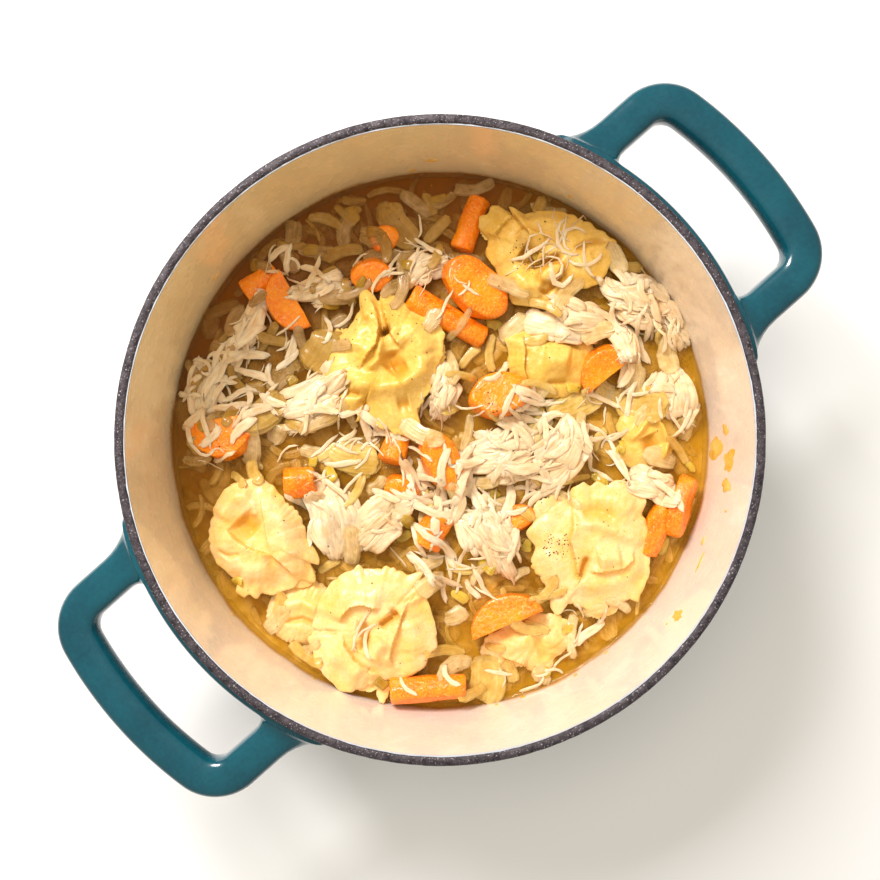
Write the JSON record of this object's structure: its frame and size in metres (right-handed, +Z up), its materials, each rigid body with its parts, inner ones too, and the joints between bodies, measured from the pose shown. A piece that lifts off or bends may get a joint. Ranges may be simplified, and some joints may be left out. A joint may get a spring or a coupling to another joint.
{
  "type": "tortellini in broth",
  "caption": "Enamelled iron pot with two loop handles holding broth with stuffed pasta rings, carrot, pulled chicken and leek.",
  "frame": {"origin": "middle of the pot's flat base, on the surface that it stands on", "axes": "+Z up along the pot's axis, the two handles along X"},
  "size_m": [0.3302, 0.2416, 0.112],
  "materials": {
    "enamel": "gloss",
    "cream_enamel": "gloss",
    "bare_iron": "matte",
    "broth": "gloss",
    "pasta": "satin",
    "carrot": "satin",
    "chicken": "matte",
    "leek": "gloss",
    "pepper": "matte"
  },
  "bodies": {
    "root": {"broth": "broth", "carrot_1": "carrot", "carrot_10": "carrot", "carrot_11": "carrot", "carrot_12": "carrot", "carrot_13": "carrot", "carrot_14": "carrot", "carrot_15": "carrot", "carrot_16": "carrot", "carrot_17": "carrot", "carrot_18": "carrot", "carrot_19": "carrot", "carrot_2": "carrot", "carrot_20": "carrot", "carrot_3": "carrot", "carrot_4": "carrot", "carrot_5": "carrot", "carrot_6": "carrot", "carrot_7": "carrot", "carrot_8": "carrot", "carrot_9": "carrot", "chicken_1": "chicken", "chicken_10": "chicken", "chicken_11": "chicken", "chicken_12": "chicken", "chicken_13": "chicken", "chicken_14": "chicken", "chicken_15": "chicken", "chicken_16": "chicken", "chicken_17": "chicken", "chicken_2": "chicken", "chicken_3": "chicken", "chicken_4": "chicken", "chicken_5": "chicken", "chicken_6": "chicken", "chicken_7": "chicken", "chicken_8": "chicken", "chicken_9": "chicken", "leek_1": "leek", "leek_2": "leek", "leek_3": "leek", "leek_4": "leek", "leek_5": "leek", "leek_6": "leek", "leek_7": "leek", "pot": "enamel", "tortellino_1": "pasta", "tortellino_2": "pasta", "tortellino_3": "pasta", "tortellino_4": "pasta", "tortellino_5": "pasta", "tortellino_6": "pasta", "tortellino_7": "pasta", "tortellino_8": "pasta", "tortellino_9": "pasta"}
  },
  "joints": []
}
